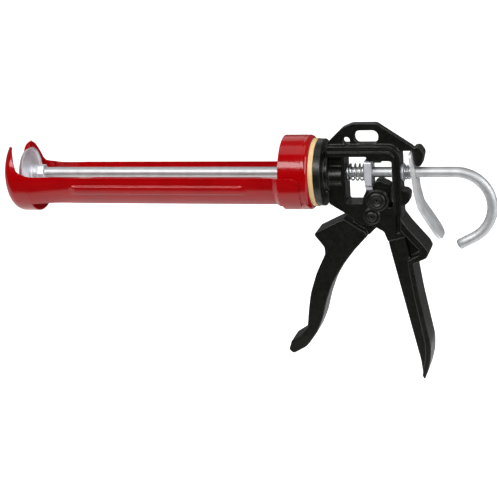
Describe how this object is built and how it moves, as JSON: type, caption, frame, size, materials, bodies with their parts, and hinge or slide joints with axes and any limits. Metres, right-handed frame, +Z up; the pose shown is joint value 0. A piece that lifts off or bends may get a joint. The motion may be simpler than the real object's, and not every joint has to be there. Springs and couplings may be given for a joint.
{
  "type": "caulking gun",
  "caption": "Cartridge caulking gun with a rotating open cradle, hooked plunger rod, cast pistol handle with trigger, drive plates and thumb release lever.",
  "frame": {"origin": "cartridge seat: the rod axis at the inner face of the front plate", "axes": "+X along the plunger rod from the nozzle end to the handle, +Z up away from the trigger and grip, Y across, symmetric"},
  "size_m": [0.3859, 0.0614, 0.2009],
  "materials": {
    "red_enamel": "gloss red enamel on pressed steel",
    "black_cast": "black powder coat on cast aluminium",
    "zinc": "bright zinc plated steel",
    "rod_zinc": "drawn rod, bright zinc",
    "lever_zinc": "matte zinc plated strip",
    "spring_steel": "zinc plated spring wire",
    "nylon": "pale yellow nylon",
    "bronze": "sintered bronze",
    "rivet_black": "black coated rivet"
  },
  "bodies": {
    "handle": {"handle_frame": "black_cast", "front_bush": "bronze", "rear_bush": "bronze", "bearing_ring": "nylon", "retaining_washer": "zinc", "retaining_ring": "zinc", "pivot_pin": "rivet_black", "stop_pin": "rivet_black", "spring_washer": "zinc", "release_spring": "spring_steel", "main_spring": "spring_steel"},
    "cradle": {"front_cap": "red_enamel", "rail_near": "red_enamel", "rail_far": "red_enamel", "rear_collar": "red_enamel"},
    "plunger": {"plunger_rod": "rod_zinc", "piston_disc": "zinc", "piston_washer": "zinc", "piston_hub": "zinc", "piston_nut": "zinc"},
    "drive": {"drive_plate_front": "zinc", "drive_plate_rear": "zinc"},
    "trigger_body": {"trigger": "black_cast", "trigger_bush": "bronze"},
    "release": {"release_lever": "lever_zinc"}
  },
  "joints": [
    {"name": "barrel_spin", "type": "hinge", "parent": "handle", "child": "cradle", "pos_m": [0.244, 0, 0], "axis": [1, 0, 0], "continuous": true},
    {"name": "rod_slide", "type": "slide", "parent": "handle", "child": "plunger", "axis": [1, 0, 0], "range_m": [0, 0.212]},
    {"name": "trigger_pull", "type": "hinge", "parent": "handle", "child": "trigger_body", "pos_m": [0.294, 0, -0.0195], "axis": [0, -1, 0], "range_deg": [0, 24], "stiffness_Nm_per_rad": 0.5, "springref_deg": -28.65},
    {"name": "drive_plate_slide", "type": "slide", "parent": "handle", "child": "drive", "axis": [-1, 0, 0], "range_m": [0, 0.0039], "deforming": ["main_spring"]},
    {"name": "release_lever_tilt", "type": "hinge", "parent": "handle", "child": "release", "pos_m": [0.3199, 0, 0.0162], "axis": [0, 1, 0], "range_deg": [0, 6.4], "stiffness_Nm_per_rad": 0.4, "springref_deg": -14.32, "deforming": ["release_spring"]}
  ],
  "couplings": [
    {"joint": "drive_plate_slide", "follows": "trigger_pull", "m_per_rad": 0.0093}
  ]
}
